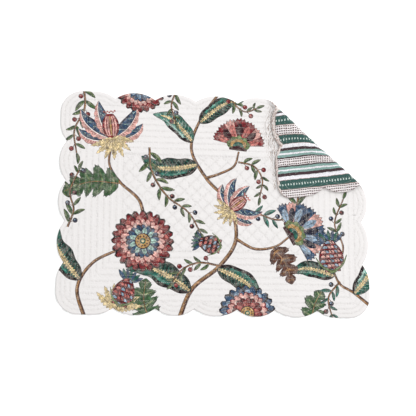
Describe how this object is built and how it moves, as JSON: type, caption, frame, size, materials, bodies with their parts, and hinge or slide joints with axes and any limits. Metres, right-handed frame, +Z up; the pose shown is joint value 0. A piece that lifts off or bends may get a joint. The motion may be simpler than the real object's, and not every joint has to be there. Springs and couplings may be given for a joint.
{
  "type": "quilted fabric placemat",
  "caption": "Rectangular quilted cloth placemat with a scalloped edge, lying face up with one corner folded over to show its striped back.",
  "frame": {"origin": "centre of the box that holds the mat, on the surface it lies on", "axes": "+X along the long sides, +Y away from the viewer, +Z up; the folded corner is at +X, +Y"},
  "size_m": [0.457, 0.33, 0.0198],
  "materials": {
    "face_cloth": "matte cotton, warm white, floral print",
    "back_cloth": "matte cotton, green, brown and white stripes"
  },
  "bodies": {
    "root": {"face_panel": "face_cloth", "back_panel": "back_cloth"}
  },
  "joints": []
}
